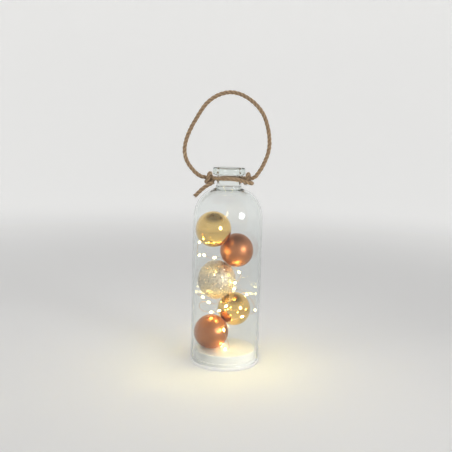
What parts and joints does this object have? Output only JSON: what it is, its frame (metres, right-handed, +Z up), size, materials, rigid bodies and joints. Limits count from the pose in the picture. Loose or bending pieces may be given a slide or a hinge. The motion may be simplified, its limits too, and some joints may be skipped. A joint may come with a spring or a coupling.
{
  "type": "bottle light",
  "caption": "Clear glass bottle lamp with baubles and a wire of small lights inside, on a white battery base, with a rope loop handle.",
  "frame": {"origin": "centre of the foot ring, on the surface that the lamp stands on", "axes": "+Z up the bottle, -Y towards the viewer of the picture, +X to their right"},
  "size_m": [0.1265, 0.1, 0.3942],
  "materials": {
    "clear_glass": "polished",
    "clear_adhesive": "gloss",
    "white_plastic": "satin",
    "screw_steel": "satin",
    "cell_wrap": "satin",
    "contact_nickel": "satin",
    "board_laminate": "satin",
    "black_plastic": "satin",
    "resistor_body": "satin",
    "switch_metal": "satin",
    "red_insulation": "satin",
    "black_insulation": "satin",
    "copper_wire": "satin",
    "clear_rubber": "satin",
    "light_drop": "gloss",
    "light_chip": "satin",
    "satin_copper": "satin",
    "mirror_gold": "polished",
    "champagne_glitter": "satin",
    "gold_cap": "satin",
    "jute_rope": "matte"
  },
  "bodies": {
    "base": {"glass_bottle": "clear_glass", "glue_bead": "clear_adhesive", "base_housing": "white_plastic", "bottom_plate": "white_plastic", "base_screws": "screw_steel", "aaa_cell_1": "cell_wrap", "aaa_cell_2": "cell_wrap", "aaa_cell_3": "cell_wrap", "contact_plates": "contact_nickel", "contact_springs": "contact_nickel", "circuit_board": "board_laminate", "driver_chip": "black_plastic", "resistor": "resistor_body", "switch_body": "switch_metal", "lead_red": "red_insulation", "lead_black": "black_insulation", "feed_lead": "copper_wire", "wire_bush": "clear_rubber", "light_wire": "copper_wire", "led_drops": "light_drop", "led_chips": "light_chip", "bauble_copper_low": "satin_copper", "bauble_gold_low": "mirror_gold", "bauble_glitter": "champagne_glitter", "bauble_copper_high": "satin_copper", "bauble_gold_high": "mirror_gold", "bauble_caps": "gold_cap", "bauble_loops": "gold_cap", "rope_front_turn": "jute_rope", "rope_back_turn": "jute_rope"},
    "handle": {"rope_handle": "jute_rope"},
    "battery_door": {"battery_door": "white_plastic"},
    "switch_knob": {"switch_knob": "black_plastic"}
  },
  "joints": [
    {"name": "handle_swing", "type": "hinge", "parent": "base", "child": "handle", "pos_m": [0, 0, 0.2705], "axis": [1, 0, 0], "range_deg": [-100, 100]},
    {"name": "battery_door_hinge", "type": "hinge", "parent": "base", "child": "battery_door", "pos_m": [-0.02385, -0.002, 0.002], "axis": [0, 1, 0], "range_deg": [0, 90]},
    {"name": "switch_slide", "type": "slide", "parent": "base", "child": "switch_knob", "axis": [-1, 0, 0], "range_m": [0, 0.002]}
  ]
}
